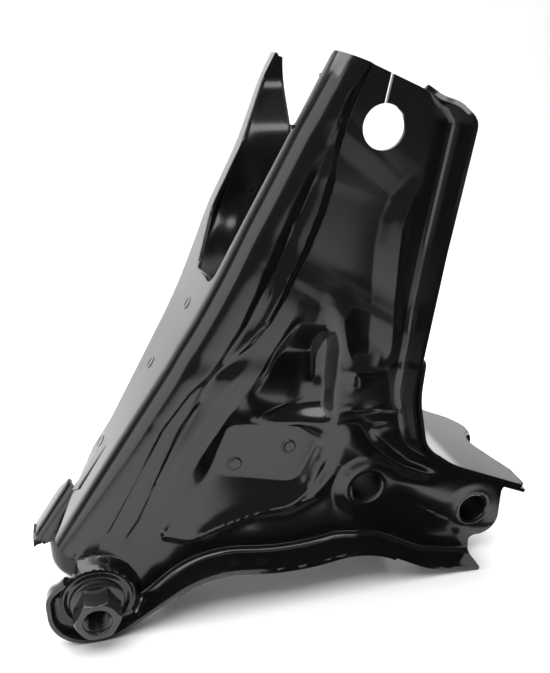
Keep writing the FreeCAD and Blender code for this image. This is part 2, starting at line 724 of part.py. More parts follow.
for item in doc.Objects:
    if "Invalid" in item.State or "Error" in item.State:
        raise RuntimeError("failed feature: " + item.Name)
os.makedirs("parts", exist_ok=True)
for piece in subparts:
    if piece.Shape.isNull() or not piece.Shape.isValid():
        raise RuntimeError("bad shape: " + piece.Label)
    piece.Shape.exportStep("parts/%s.step" % piece.Label)
    print(piece.Label, len(piece.Shape.Solids), "solids", round(piece.Shape.Volume), "mm3")
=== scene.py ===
import math

import bpy
import bmesh
import numpy as np
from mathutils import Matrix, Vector
from mathutils.geometry import delaunay_2d_cdt


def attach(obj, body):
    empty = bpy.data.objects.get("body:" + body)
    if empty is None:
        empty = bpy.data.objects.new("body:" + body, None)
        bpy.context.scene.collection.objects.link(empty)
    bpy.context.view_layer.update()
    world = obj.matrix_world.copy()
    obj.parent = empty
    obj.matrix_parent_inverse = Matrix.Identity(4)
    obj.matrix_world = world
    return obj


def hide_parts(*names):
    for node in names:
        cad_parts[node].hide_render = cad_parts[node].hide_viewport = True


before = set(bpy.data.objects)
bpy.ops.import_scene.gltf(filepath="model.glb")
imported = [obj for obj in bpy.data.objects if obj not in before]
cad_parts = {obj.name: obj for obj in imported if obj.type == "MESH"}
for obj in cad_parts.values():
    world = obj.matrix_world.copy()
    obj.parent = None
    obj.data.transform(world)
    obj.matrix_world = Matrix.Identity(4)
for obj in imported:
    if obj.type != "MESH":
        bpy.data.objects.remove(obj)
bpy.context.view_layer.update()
MM = 0.001

# All shape values below are millimetres in the part's own frame: X along the foot, Y away
# from the nut's face side, Z up. The near wall is the sheet that carries the nut.

THICK = 2.4
NEAR = 9.0
TOP = 302.5
FLOOR = -24.5
TILT = math.tan(math.radians(3.2))
SPINE_R = 14.0
BEND_R = 4.0
SLEEVE_BORE = 10.0
SLEEVE_OUTSIDE = 13.2
BOLT_HOLE = 8.6
TOP_HOLE_R = 12.0
FLANGE_FRONT = -7.0
FAR_FLANGE = 11.5
FAR_FOOT_TIP = (-38.0, 15.0)
SPINE_BEND_R = 480.0

# Mesh spacing of the near wall, of the wider sheets, and round the nut.
GRID = 1.6
WIDE_GRID = 3.0
NUT_GRID = (0.0, 0.0, 34.0, 0.9)
HEX_ROW = 0.866

# Soft edges of the sheets.
RIM = 0.45
RIM_ANGLE = math.radians(62.0)
SHARP_ANGLE = math.radians(38.0)

SPINE = [(-21.0, 32.0), (69.0, 164.0), (147.0, TOP)]
RIGHT = [(215.0, 268.0), (204.0, 200.0), (192.0, 112.0), (200.0, 76.0), (222.0, 60.0), (277.0, 35.5)]
RIGHT_R = [0.0, 200.0, 60.0, 22.0, 60.0, 0.0]
SHOULDER = [(194.0, 283.8), (208.0, 278.0)]
SHOULDER_R = 9.0
EAR = [(270.0, 28.0), (270.0, -6.0), (250.0, -10.0)]
EAR_R = [0.0, 8.0, 16.0, 4.0, 0.0]
BOTTOM = [(250.0, FLOOR), (213.0, -16.5), (169.0, 9.0), (123.0, 1.5), (66.0, 11.0), (9.0, FLOOR),
          (-28.0, FLOOR), (-28.0, 14.0), (-17.0, 22.0)]
BOTTOM_R = [0.0, 60.0, 60.0, 150.0, 60.0, 30.0, 24.0, 12.0, 0.0]
INBOARD = (172.0, 44.5)
OUTBOARD = (250.0, 14.0)
TOP_HOLE = (172.0, 265.0)


# ---------------------------------------------------------------- plane curves

def smooth(t):
    t = np.clip(t, 0.0, 1.0)
    return t * t * (3.0 - 2.0 * t)


def rounded(points, radii=None, closed=False, step=2.4):
    """Sample a polyline whose corners are arcs of the given radii."""
    pts = [np.array(p, float) for p in points]
    count = len(pts)
    radii = radii or [0.0] * count
    out = []
    for i, p in enumerate(pts):
        if radii[i] <= 0.0 or (not closed and i in (0, count - 1)):
            out.append(p)
            continue
        a = pts[i - 1] - p
        b = pts[(i + 1) % count] - p
        la, lb = np.linalg.norm(a), np.linalg.norm(b)
        a, b = a / la, b / lb
        half = math.acos(max(-1.0, min(1.0, float(a @ b)))) / 2.0
        reach = min(radii[i] / math.tan(half), 0.8 * min(la, lb))
        r = reach * math.tan(half)
        mid = (a + b) / np.linalg.norm(a + b)
        centre = p + mid * r / math.sin(half)
        v0, v1 = p + a * reach - centre, p + b * reach - centre
        turn = math.atan2(v0[0] * v1[1] - v0[1] * v1[0], float(v0 @ v1))
        m = max(3, math.ceil(abs(turn) * r / step))
        for k in range(m + 1):
            c, s = math.cos(turn * k / m), math.sin(turn * k / m)
            out.append(centre + np.array([v0[0] * c - v0[1] * s, v0[0] * s + v0[1] * c]))
    if closed:
        out.append(out[0])
    fine = [out[0]]
    for p, q in zip(out, out[1:]):
        m = max(1, math.ceil(np.linalg.norm(q - p) / step - 0.01))
        for k in range(1, m + 1):
            fine.append(p + (q - p) * k / m)
    if closed:
        fine.pop()
    return np.array(fine)


def inward(line, side):
    """Unit vectors square to a polyline at its points; side 1 is to its left."""
    t = np.gradient(line, axis=0)
    t /= np.linalg.norm(t, axis=1)[:, None]
    return np.stack([-t[:, 1], t[:, 0]], 1) * side


def to_line(P, line):
    """Distance, signed side (positive to the right) and travelled fraction of points along a polyline."""
    line = np.asarray(line, float)
    seg = np.linalg.norm(np.diff(line, axis=0), axis=1)
    at = np.concatenate([[0.0], np.cumsum(seg)])
    best = np.full(len(P), 1e9)
    side = np.zeros(len(P))
    frac = np.zeros(len(P))
    for i in range(len(line) - 1):
        d = line[i + 1] - line[i]
        v = P - line[i]
        t = np.clip((v @ d) / (d @ d), 0.0, 1.0)
        off = v - t[:, None] * d
        dist = np.hypot(off[:, 0], off[:, 1])
        hit = dist < best
        best = np.where(hit, dist, best)
        cross = v[:, 0] * d[1] - v[:, 1] * d[0]
        side = np.where(hit, np.sign(cross) * dist, side)
        frac = np.where(hit, (at[i] + t * seg[i]) / at[-1], frac)
    return best, side, frac


def inside(P, poly):
    poly = np.asarray(poly, float)
    x, z = P[:, 0], P[:, 1]
    hit = np.zeros(len(P), bool)
    for (x0, z0), (x1, z1) in zip(poly, np.roll(poly, -1, axis=0)):
        if z0 == z1:
            continue
        cross = (z0 > z) != (z1 > z)
        hit ^= cross & (x < (x1 - x0) * (z - z0) / (z1 - z0) + x0)
    return hit


def loop_distance(P, poly):
    poly = np.asarray(poly, float)
    return to_line(P, np.vstack([poly, poly[:1]]))[0]


def circle(centre, radius, count=48):
    a = np.arange(count) * math.tau / count
    return np.stack([centre[0] + radius * np.cos(a), centre[1] + radius * np.sin(a)], 1)


def window(t, start, end):
    w = np.ones_like(t)
    if start > 0.0:
        w = w * smooth(t / start)
    if end > 0.0:
        w = w * smooth((1.0 - t) / end)
    return w


# ---------------------------------------------------------------- mesh helpers

class Sheet:
    """Vertices and faces of an open sheet, gathered before it becomes an object."""

    def __init__(self):
        self.verts = []
        self.faces = []

    def add(self, verts, faces):
        base = len(self.verts)
        self.verts.extend([tuple(v) for v in verts])
        self.faces.extend([tuple(base + i for i in f) for f in faces])

    def rows(self, rows, closed=False):
        """Quads between successive rows of points."""
        rows = [np.asarray(r, float) for r in rows]
        n = len(rows[0])
        faces = []
        for i in range(len(rows) - 1):
            for j in range(n if closed else n - 1):
                k = (j + 1) % n
                faces.append((i * n + j, i * n + k, (i + 1) * n + k, (i + 1) * n + j))
        self.add(np.vstack(rows), faces)

    def region(self, outline, holes, place, grid=GRID, fine=()):
        """Triangles over a plane region with holes, each point carried into space by place."""
        outline = np.asarray(outline, float)
        loops = [outline] + [np.asarray(h, float) for h in holes]
        lo, hi = outline.min(0), outline.max(0)
        rows = np.arange(lo[1], hi[1], grid * HEX_ROW)
        pts = []
        for k, z in enumerate(rows):
            xs = np.arange(lo[0] + (grid / 2 if k % 2 else 0.0), hi[0], grid)
            pts.append(np.stack([xs, np.full(len(xs), z)], 1))
        pts = np.vstack(pts)
        for cx, cz, radius, small in fine:
            pts = pts[np.hypot(pts[:, 0] - cx, pts[:, 1] - cz) > radius]
            local = []
            for k, z in enumerate(np.arange(cz - radius, cz + radius, small * HEX_ROW)):
                xs = np.arange(cx - radius + (small / 2 if k % 2 else 0.0), cx + radius, small)
                local.append(np.stack([xs, np.full(len(xs), z)], 1))
            local = np.vstack(local)
            pts = np.vstack([pts, local[np.hypot(local[:, 0] - cx, local[:, 1] - cz) < radius - small * 0.3]])
        keep = inside(pts, outline)
        for h in loops[1:]:
            keep &= ~inside(pts, h)
        pts = pts[keep]
        near = np.full(len(pts), 1e9)
        for loop in loops:
            near = np.minimum(near, loop_distance(pts, loop))
        pts = pts[near > grid * 0.5]
        coords, edges = [], []
        for loop in loops:
            base = len(coords)
            n = len(loop)
            coords.extend([Vector(p) for p in loop])
            edges.extend([(base + i, base + (i + 1) % n) for i in range(n)])
        coords.extend([Vector(p) for p in pts])
        v, _, f, *_ = delaunay_2d_cdt(coords, edges, [], 0, 1e-4)
        v = np.array([tuple(p) for p in v])
        f = np.array(f)
        mid = v[f].mean(1)
        keep = inside(mid, outline)
        for h in loops[1:]:
            keep &= ~inside(mid, h)
        self.add(place(v), f[keep])

    def to_object(self, name, weld=0.05):
        mesh = bpy.data.meshes.new(name)
        mesh.from_pydata([(x * MM, y * MM, z * MM) for x, y, z in self.verts], [], self.faces)
        bm = bmesh.new()
        bm.from_mesh(mesh)
        bmesh.ops.remove_doubles(bm, verts=bm.verts, dist=weld * MM)
        loose = [v for v in bm.verts if not v.link_faces]
        bmesh.ops.delete(bm, geom=loose, context="VERTS")
        bmesh.ops.recalc_face_normals(bm, faces=bm.faces)
        bm.to_mesh(mesh)
        bm.free()
        obj = bpy.data.objects.new(name, mesh)
        bpy.context.scene.collection.objects.link(obj)
        return obj


def finish_sheet(obj, material, facing):
    """Give an open sheet its thickness, soft rims and material.

    facing gives the side that stays where it is, at places where that is known, and None elsewhere."""
    mesh = obj.data
    bm = bmesh.new()
    bm.from_mesh(mesh)

    def known_area(face):
        return face.calc_area() if facing(face.calc_center_median() / MM) is not None else 0

    probe = max(bm.faces, key=known_area)
    want = facing(probe.calc_center_median() / MM)
    if want is not None and probe.normal.dot(Vector(want)) < 0:
        bmesh.ops.reverse_faces(bm, faces=bm.faces)
    bm.to_mesh(mesh)
    bm.free()
    solid = obj.modifiers.new("thickness", "SOLIDIFY")
    solid.thickness = THICK * MM
    solid.offset = -1.0
    solid.use_even_offset = False
    apply_modifiers(obj)
    soften(obj)
    obj.data.materials.append(material)


def adopt(obj, node):
    """Ride on the one body and stand for a CAD node."""
    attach(obj, "root")
    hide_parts(node)


def apply_modifiers(obj):
    deps = bpy.context.evaluated_depsgraph_get()
    mesh = bpy.data.meshes.new_from_object(obj.evaluated_get(deps))
    obj.modifiers.clear()
    obj.data = mesh


def soften(obj):
    """Round the cut edges of a sheet and shade it smooth."""
    rim = obj.modifiers.new("rim", "BEVEL")
    rim.limit_method = "ANGLE"
    rim.angle_limit = RIM_ANGLE
    rim.width = RIM * MM
    rim.segments = 2
    rim.use_clamp_overlap = True
    apply_modifiers(obj)
    obj.data.shade_smooth()
    obj.data.set_sharp_from_angle(angle=SHARP_ANGLE)


# ---------------------------------------------------------------- relief of the near wall

# Each step: a line from low to high, its width, how far the sheet drops on its right,
# and how softly it starts and ends.
STEPS = [
    ([(92, 190), (100, 200), (120, 235), (135, 268), (148, 291), (153, 300)], 11.0, 2.2, 0.25, 0.0),
    ([(100, 176), (113, 199), (125, 222), (135, 242), (143, 262), (150, 279), (162, 297)],
     3.0, 1.2, 0.25, 0.0),
    ([(-2, 22), (12, 43), (30, 75), (46, 104), (62, 124), (70, 131), (82, 138), (98, 150), (109, 163),
      (120, 182), (130, 200), (139, 222), (144, 240), (146, 256), (152, 276), (163, 297)],
     3.0, 1.8, 0.08, 0.0),
    ([(4, 18), (18, 30), (28, 44), (40, 69), (58, 102), (70, 120), (80, 134)], 2.8, 1.8, 0.1, 0.2),
]

# Each ridge: a line from low to high, its half width, how far the sheet stands forward along it
# (back, where the number is below 0), and how softly it starts and ends.
SPINE_FOLDS = [
    ([(30, 52), (52, 92), (70, 122), (96, 160), (112, 192), (128, 226), (140, 262), (150, 296)],
     3.2, -1.5, 0.2, 0.0),
    ([(44, 60), (62, 92), (82, 122), (104, 148)], 4.0, 1.2, 0.25, 0.3),
    ([(96, 150), (110, 176), (120, 202), (126, 224)], 2.6, -1.6, 0.2, 0.4),
    ([(146, 300), (138, 270), (128, 244), (118, 224)], 2.6, -1.4, 0.05, 0.5),
]
LOWER_RIDGE = [(56, 21), (76, 31), (99, 37), (121, 36), (137, 43), (148, 56), (152, 72)]
MIDDLE_FLUTE = [(195, 238), (190, 228), (186, 214), (185, 194), (184, 160), (183, 126)]
UPRIGHT_RIDGE = [(150, 178), (152, 164), (155, 142), (161, 126), (166, 112)]
SLOT_BESIDE_RIDGE = [(146, 154), (141, 132), (141, 112)]
CRESCENT = [(160, 96), (167, 86), (175, 74), (185, 63), (197, 54), (212, 47), (230, 42)]
HOLLOW_BESIDE_PAD = [(150, 104), (149, 82), (145, 64), (138, 50), (127, 42)]
RIDGES = [
    (LOWER_RIDGE, 5.0, 1.5, 0.12, 0.25),
    (MIDDLE_FLUTE, 4.2, 1.3, 0.3, 0.12),
    (UPRIGHT_RIDGE, 5.5, 2.2, 0.3, 0.2),
    (SLOT_BESIDE_RIDGE, 5.0, -2.2, 0.25, 0.25),
    (CRESCENT, 4.0, -2.0, 0.25, 0.3),
    (HOLLOW_BESIDE_PAD, 5.0, -1.4, 0.3, 0.3),
]

# Stretched folds where the upright wall turns into the foot: middle, half width, half height, rise.
STRETCHED = [
    (158, 126, 7, 3.0, 0.9), (172, 124, 6, 2.4, 0.8), (185, 125, 6, 2.4, 0.8), (158, 102, 8, 3.6, 1.1),
    (174, 101, 9, 3.2, 1.0), (187, 99, 6, 3.4, 0.8), (160, 90, 8, 3.6, -0.9), (178, 86, 9, 3.4, -0.8),
]

# The pocket, the flat pad for the brace in it, and the pocket's deepest part.
POCKET = [(38, 27), (50, 54), (66, 80), (80, 99), (91, 117), (104, 134), (116, 152), (126, 172), (134, 184),
          (146, 188), (153, 182), (152, 164), (153, 140), (151, 112), (150, 84), (145, 62), (137, 47),
          (122, 35), (99, 35), (76, 29), (56, 21)]
POCKET_R = [4, 40, 60, 60, 60, 60, 40, 20, 10, 10, 10, 40, 40, 40, 30, 20, 12, 20, 40, 40, 10]
PAD = [(74.0, 66.0), (126.0, 51.0), (142.0, 80.0), (128.0, 90.0), (86.0, 99.0)]
PAD_R = 6.0
POCKET_FLOOR = [(42, 32), (70, 63), (84, 97), (128, 90), (142, 80), (134, 56), (120, 40), (99, 38), (76, 32),
                (57, 25)]
POCKET_FLOOR_R = [1, 3, 5, 6, 6, 8, 8, 30, 30, 6]
LOW_EDGE = [(36, 26), (56, 22), (76, 30), (99, 36), (121, 35), (136, 46), (146, 62)]
PAD_DEPTH = 9.0
HOLLOW_DEPTH = 10.0
TINY = 1e-6

# The upright step on the left of the flutes: its line, width, drop, soft start and soft end.
LEFT_FLUTE = [(196, 243), (188, 235), (181, 226), (177, 214), (175, 200), (174, 170), (173, 142), (172, 124)]
LEFT_FLUTE_FORM = (7.0, 1.6, 0.25, 0.12)

FOOT_RISE = 2.4
SLEEVE_LIP = 0.7
BOSS_RISE = 9.0
BOSS_GROOVE = 1.6


def bell(distance, width):
    return np.exp(-(distance / width) ** 2)


def raised(P, ridges):
    """How far the sheet stands forward at points in X-Z, from a table of ridges."""
    total = np.zeros(len(P))
    for line, width, rise, start, end in ridges:
        dist, _, t = to_line(P, line)
        total += rise * bell(dist, width) * window(t, start, end)
    return total


def stepped(P, line, width, drop, start, end):
    """How far the sheet drops to the right of a step's line."""
    _, side, t = to_line(P, line)
    return drop * smooth(0.5 + side / width) * window(t, start, end)


def pocketed(P, h):
    """The wall's relief h with the pocket, its pad and the hollow above the pad pressed into it."""
    x, z = P[:, 0], P[:, 1]
    pocket = rounded(POCKET, POCKET_R, closed=True, step=3.0)
    pad = rounded(PAD, [PAD_R] * len(PAD), closed=True, step=2.0)
    floor = rounded(POCKET_FLOOR, POCKET_FLOOR_R, closed=True, step=2.0)
    in_pocket = inside(P, pocket)
    in_pad = inside(P, pad)
    in_floor = inside(P, floor)
    to_rim = loop_distance(P, pocket)
    to_pad = loop_distance(P, pad)
    to_floor = np.where(in_floor, 0.0, loop_distance(P, floor))
    from_low = to_line(P, LOW_EDGE)[0]
    depth = PAD_DEPTH * np.where(in_pad, 1.0, from_low / (from_low + to_pad + TINY))
    share = np.where(in_floor, 1.0, np.where(in_pocket, to_rim / (to_rim + to_floor + TINY), 0.0))
    drop = share * np.where(in_pocket | in_pad, smooth(to_rim / 2.0 + 0.3), 0.0)
    hollow = smooth((x - 92.0) / 44.0) * smooth((z - 92.0) / 12.0) * smooth((168.0 - z) / 40.0)
    hollow = np.where(in_pocket & ~in_pad, hollow * smooth(to_rim / 8.0) * smooth(to_pad / 4.0), 0.0)
    return h * (1.0 - drop) + depth * drop + HOLLOW_DEPTH * hollow


def relief(P):
    """How far the near wall stands back from its plane, at points in X-Z."""
    x, z = P[:, 0], P[:, 1]
    h = np.zeros(len(P))
    for step in STEPS:
        h += stepped(P, *step)
    h = pocketed(P, h - raised(P, SPINE_FOLDS))
    h += stepped(P, LEFT_FLUTE, *LEFT_FLUTE_FORM) * smooth((212.0 - x) / 12.0)
    h -= raised(P, RIDGES)
    for middle_x, middle_z, half_width, half_height, rise in STRETCHED:
        h -= rise * bell(x - middle_x, half_width) * bell(z - middle_z, half_height)
    # The foot stands a little forward of the upright wall.
    h -= FOOT_RISE * smooth((x - 150.0) / 16.0) * smooth((66.0 - z) / 26.0)
    # Round boss that carries the nut.
    r = np.hypot(x, z)
    h = h * smooth((r - 26.0) / 16.0) - BOSS_RISE * smooth((25.6 - r) / 3.6) + BOSS_GROOVE * bell(r - 19.6, 1.9)
    # Flat seats round the two sleeves, dished at the rim.
    for hole_x, hole_z in (INBOARD, OUTBOARD):
        r = np.hypot(x - hole_x, z - hole_z)
        h *= smooth((r - 13.0) / 10.0)
        h += SLEEVE_LIP * (1.0 - smooth((r - SLEEVE_BORE) / 1.6))
    return h


def near_place(P):
    return np.stack([P[:, 0], NEAR + relief(P), P[:, 1]], 1)


# ---------------------------------------------------------------- bends and rims

def bend_rows(line, insets, start_y, radius, steps):
    """The bend from a wall into a sheet that runs off in Y: forwards where the radius is below 0."""
    rows = []
    for k in range(steps + 1):
        a = math.pi / 2 * k / steps
        at = line + insets * (1.0 - math.sin(a))
        y = start_y + radius * (1.0 - math.cos(a))
        rows.append(np.stack([at[:, 0], y, at[:, 1]], 1))
    return rows


def flange_rows(line, insets, start_y, end_y, radius, steps=6, straight=7):
    """The bend from a wall into a flange, whose free edge lies at end_y."""
    toward = 1.0 if np.mean(end_y) > np.mean(start_y) else -1.0
    rows = bend_rows(line, insets, start_y, toward * radius, steps)
    last = rows[-1][:, 1]
    for k in range(1, straight + 1):
        y = last + (end_y - last) * k / straight
        rows.append(np.stack([line[:, 0], y, line[:, 1]], 1))
    return rows


def travelled(line):
    """Distance along a line to each of its points."""
    return np.concatenate([[0.0], np.cumsum(np.linalg.norm(np.diff(line, axis=0), axis=1))])


def grow_along(line, length):
    """A factor that rises from 0 to 1 over the first stretch of a line."""
    return smooth(travelled(line) / length)


def blend_end(insets, index, vector, reach=4):
    """Turn the insets near one end of a line until the end one is the given vector."""
    vector = np.array(vector, float)
    span = range(reach) if index == 0 else range(len(insets) - reach, len(insets))
    for i in span:
        far = i if index == 0 else len(insets) - 1 - i
        w = 1.0 - far / reach
        insets[i] = insets[i] * (1.0 - w) + vector * w
    return insets


def rim_lines():
    """The right and bottom edges of a shell, with the steps inwards that their bends take."""
    right = rounded(SHOULDER + RIGHT, [0.0, SHOULDER_R, SHOULDER_R] + RIGHT_R[1:])
    right = right + inward(right, -1.0) * THICK * grow_along(right, 10.0)[:, None]
    right_bend = BEND_R * np.maximum(grow_along(right, 14.0), 0.04)
    right_in = inward(right, -1.0) * right_bend[:, None]
    bottom = rounded(BOTTOM, BOTTOM_R)
    bottom = bottom + inward(bottom, -1.0) * THICK
    bottom_in = blend_end(inward(bottom, -1.0) * BEND_R, 0, (0.0, BEND_R), 3)
    return right, right_in, right_bend, bottom, bottom_in


def on_spine(spine):
    """Carry points given as travelled distance and depth onto the spine line."""
    seg = travelled(spine)

    def place(P):
        return np.stack([np.interp(P[:, 0], seg, spine[:, 0]), P[:, 1], np.interp(P[:, 0], seg, spine[:, 1])], 1)
    return place


# The top edge's direction, and the two edges of the slit that runs down from it to the top hole.
TOP_RUN = np.array([15.0, -5.5]) / math.hypot(15.0, 5.5)
SLIT_X = (174.2, 175.7)
SLIT_CLEAR = 0.6
SLIT_ANGLE = 0.065


def slit_hole(top):
    """The top edge broken by the slit, which runs round the top hole and back."""
    cut_l, cut_r = (np.array([x, np.interp(x, top[:, 0], top[:, 1])]) for x in SLIT_X)
    turns = math.pi / 2 + SLIT_ANGLE + np.linspace(0.0, math.tau - 2.0 * SLIT_ANGLE, 60)
    ring = np.array([(TOP_HOLE[0] + TOP_HOLE_R * math.cos(a), TOP_HOLE[1] + TOP_HOLE_R * math.sin(a))
                     for a in turns])
    before = top[top[:, 0] < cut_l[0] - SLIT_CLEAR]
    after = top[top[:, 0] > cut_r[0] + SLIT_CLEAR]
    return np.vstack([before[1:], rounded([cut_l, ring[0]]), ring[1:-1], rounded([ring[-1], cut_r]), after[:-1]])


# ---------------------------------------------------------------- near shell

SPINE_END_INSET = 16.0
NOTCH_Y = 28.0
WEB_Y = 59.0


def build_near_shell(material):
    sheet = Sheet()
    spine = rounded(SPINE, [0.0, SPINE_BEND_R, 0.0])
    spine_in = blend_end(inward(spine, -1.0) * SPINE_R, -1, TOP_RUN * SPINE_END_INSET, 5)
    right, right_in, right_bend, bottom, bottom_in = rim_lines()
    q_spine, q_right, q_bottom = spine + spine_in, right + right_in, bottom + bottom_in
    top = rounded([q_spine[-1], q_right[0]])
    ear = rounded([q_right[-1]] + EAR + [q_bottom[0]], EAR_R)
    foot = rounded([q_bottom[-1], q_spine[0]])
    outline = np.vstack([q_spine, slit_hole(top), q_right, ear[1:-1], q_bottom, foot[1:-1]])
    holes = [circle(INBOARD, SLEEVE_BORE, 44), circle(OUTBOARD, SLEEVE_BORE, 44)]
    sheet.region(outline, holes, near_place, fine=[NUT_GRID])
    rows = bend_rows(spine, spine_in, NEAR + relief(q_spine), SPINE_R, 9)
    sheet.rows(rows)
    # The right flange grows from the shoulder, and is full at its lower end.
    start = NEAR + relief(q_right)
    shallow, rise = 0.3, grow_along(right, 24.0)
    end = start - shallow - (start - FLANGE_FRONT - shallow) * rise
    sheet.rows(flange_rows(right, right_in, start, end, right_bend))
    sheet.rows(flange_rows(bottom, bottom_in, NEAR + relief(q_bottom), FLANGE_FRONT, BEND_R))
    # Web: a region in travelled distance and depth, joined to the bend's last row.
    seg = travelled(spine)
    first = rows[-1][:, 1]

    def at(z):
        return float(np.interp(z, spine[:, 1], seg))

    edge = rounded([(at(TOP), first[-1]), (at(TOP) - 1.5, NOTCH_Y), (at(181.0), NOTCH_Y), (at(181.0), 46.0),
                    (at(180.0), WEB_Y), (at(71.0), WEB_Y), (at(50.0), 44.0), (at(38.0), NOTCH_Y),
                    (seg[0], first[0])], [0.0, 2.0, 9.0, 0.0, 0.0, 0.0, 20.0, 8.0, 0.0])
    sheet.region(np.vstack([np.stack([seg, first], 1), edge[1:-1]]), [], on_spine(spine), WIDE_GRID)
    obj = sheet.to_object("near_wall_panel")
    finish_sheet(obj, material, lambda c: (0, -1, 0) if c.y < 17 and 60 < c.x < 200 and 190 < c.z < 280 else None)
    return obj


# ---------------------------------------------------------------- far shell

# The far wall's outer face: height and Y.
FAR_LINE = [(-60.0, 49.0), (60.0, 49.0), (152.0, 98.0), (203.0, 132.0), (246.0, 137.0), (284.0, 163.0),
            (320.0, 163.0)]
FAR_Z, FAR_Y = zip(*FAR_LINE)
FAR_BLEND = 9.0

# Ribs of the far wall, in the form of the near wall's ridges.
FAR_RIBS = [
    ([(84, 172), (99, 188), (117, 224), (131, 250)], 6.5, 3.0, 0.3, 0.3),
    ([(104, 170), (108, 180), (118, 204), (132, 232)], 5.5, 2.6, 0.3, 0.3),
    ([(20, 54), (50, 100), (84, 150)], 9.0, 2.6, 0.25, 0.25),
    ([(70, 30), (110, 60), (150, 110), (176, 160)], 12.0, 3.2, 0.25, 0.25),
]

# The open slot in the far leg, and the bend between the far wall and its web.
FAR_SLOT = [(186.0, 290.0), (186.0, 196.0), (158.0, 196.0), (158.0, 300.0)]
FAR_SLOT_R = 13.5
FAR_BEND_R = 4.5
FAR_FOOT_START = (-37.0, 15.5)
WING_TOP_Z = 49.0
WING_BEND_R = 6.5
WING_DEPTH = (6.6, 14.0)


def far_wall(x, z):
    """Y of the far wall's outer face."""
    offsets = np.linspace(-FAR_BLEND, FAR_BLEND, 9)
    y = sum(np.interp(z + o, FAR_Z, FAR_Y) for o in offsets) / len(offsets)
    return y + TILT * x


def far_relief(P):
    h = raised(P, FAR_RIBS)
    for hole_x, hole_z in (INBOARD, OUTBOARD):
        r = np.hypot(P[:, 0] - hole_x, P[:, 1] - hole_z)
        h *= smooth((r - 16.0) / 10.0)
    return h


def far_place(P):
    return np.stack([P[:, 0], far_wall(P[:, 0], P[:, 1]) - far_relief(P), P[:, 1]], 1)


def slotted_top(left, right):
    """The far wall's top edge from its left end to its right one, broken by the open slot."""
    slot = rounded(FAR_SLOT, [0.0, FAR_SLOT_R, FAR_SLOT_R, 0.0])
    corner = SHOULDER[1]
    line = np.array([left, corner, right])
    for end in (0, -1):
        slot[end, 1] = np.interp(slot[end, 0], line[:, 0], line[:, 1])
    beyond = rounded([slot[0], corner, right], [0.0, 4.0, 0.0])
    return np.vstack([rounded([left, slot[-1]]), slot[::-1][1:], beyond[1:]])


def build_far_shell(material):
    sheet = Sheet()
    spine = rounded([FAR_FOOT_TIP] + SPINE[1:], [0.0, SPINE_BEND_R, 0.0])
    spine = spine + inward(spine, -1.0) * THICK
    spine[0] = FAR_FOOT_START
    spine_in = blend_end(inward(spine, -1.0) * FAR_BEND_R, -1, TOP_RUN * FAR_BEND_R, 4)
    right, right_in, _, bottom, bottom_in = rim_lines()
    q_spine, q_right, q_bottom = spine + spine_in, right + right_in, bottom + bottom_in
    top = slotted_top(q_spine[-1], q_right[0])
    ear = rounded([q_right[-1]] + EAR + [q_bottom[0]], EAR_R)
    foot = rounded([q_bottom[-1], q_spine[0]])
    outline = np.vstack([q_spine, top[1:-1], q_right, ear[1:-1], q_bottom, foot[1:-1]])
    holes = [circle(INBOARD, SLEEVE_OUTSIDE, 44), circle(OUTBOARD, SLEEVE_OUTSIDE, 44),
             circle((0.0, 0.0), BOLT_HOLE, 36)]
    sheet.region(outline, holes, far_place, WIDE_GRID)
    for line, insets in ((right, right_in), (bottom, bottom_in)):
        base = far_place(line + insets)[:, 1]
        end = far_wall(line[:, 0], line[:, 1]) + FAR_FLANGE
        sheet.rows(flange_rows(line, insets, base, end, BEND_R))
    # Above the foot the wall bends forwards into the web, and below it back into a narrow wing.
    base = far_place(q_spine)[:, 1]
    rows = bend_rows(spine, spine_in, base, -FAR_BEND_R, 7)
    upper = int(np.searchsorted(spine[:, 1], WING_TOP_Z))
    sheet.rows([row[upper:] for row in rows])
    low = slice(0, upper + 1)
    least, most = WING_DEPTH
    reach = least + (most - least) * smooth((spine[low, 1][-1] + 2.0 - spine[low, 1]) / 14.0)
    sheet.rows(flange_rows(spine[low], spine_in[low], base[low], base[low] + reach, WING_BEND_R))
    seg = travelled(spine)
    first = rows[-1][:, 1]

    def at(z):
        return float(np.interp(z, spine[:, 1], seg))

    near_edge = rounded([(seg[-1], first[-1]), (seg[-1], 154.0), (at(286.0), 154.0), (at(246.0), 123.0),
                         (at(206.0), 117.0), (at(177.0), 79.0), (at(179.6), 56.0), (at(179.8), 36.0),
                         (at(56.0), 36.0), (seg[upper], first[upper])],
                        [0.0, 0.0, 10.0, 20.0, 20.0, 12.0, 0.0, 0.0, 0.0, 0.0])
    web = np.vstack([np.stack([seg, first], 1)[upper:], near_edge[1:-1]])
    sheet.region(web, [], on_spine(spine), WIDE_GRID)
    obj = sheet.to_object("far_wall_panel")
    finish_sheet(obj, material, lambda c: (0, 1, 0) if 60 < c.x < 150 and 60 < c.z < 130 and c.y > 45 else None)
    return obj


# ---------------------------------------------------------------- end plate

END_PLATE = [(197.6, 136.0), (195.9, 112.0), (202.8, 78.2), (223.0, 62.6), (278.0, 38.0)]
END_PLATE_R = [0.0, 60.0, 20.0, 60.0, 0.0]
END_PLATE_BACK = 81.0


